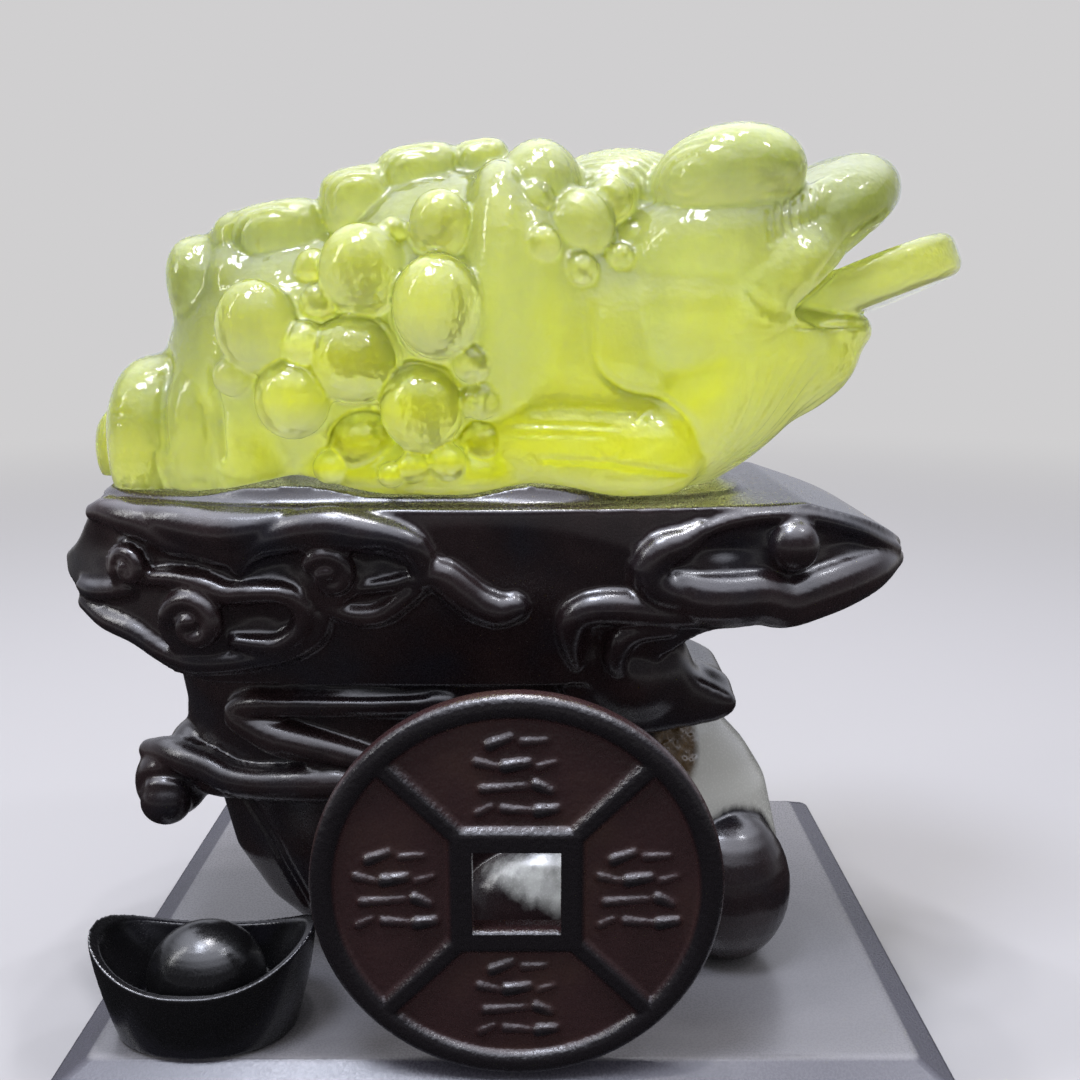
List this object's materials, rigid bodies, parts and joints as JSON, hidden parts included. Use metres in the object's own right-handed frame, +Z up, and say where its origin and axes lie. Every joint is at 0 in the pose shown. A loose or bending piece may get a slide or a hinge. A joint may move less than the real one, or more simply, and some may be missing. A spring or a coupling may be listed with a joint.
{
  "type": "carved crystal money toad on a cloud stand",
  "caption": "Yellow crystal money toad with a coin in its mouth, resting on a dark cloud stand with a cash coin and an ingot on a bevelled plinth.",
  "frame": {"origin": "middle of the plinth's flat underside, on the surface that the object stands on", "axes": "+X the way the toad faces, +Y away from the carved cash coin's face, +Z up"},
  "size_m": [0.2266, 0.148, 0.2255],
  "materials": {
    "yellow_crystal": "polished, translucent, slightly milky",
    "blackwood_resin": "satin, cast and hand polished like blackwood",
    "blackwood_coin": "satin rim, grained brown-black fields"
  },
  "bodies": {
    "root": {"toad": "yellow_crystal", "cloud_stand": "blackwood_resin", "cash_coin": "blackwood_coin", "ingot": "blackwood_resin", "plinth": "blackwood_resin"}
  },
  "joints": []
}
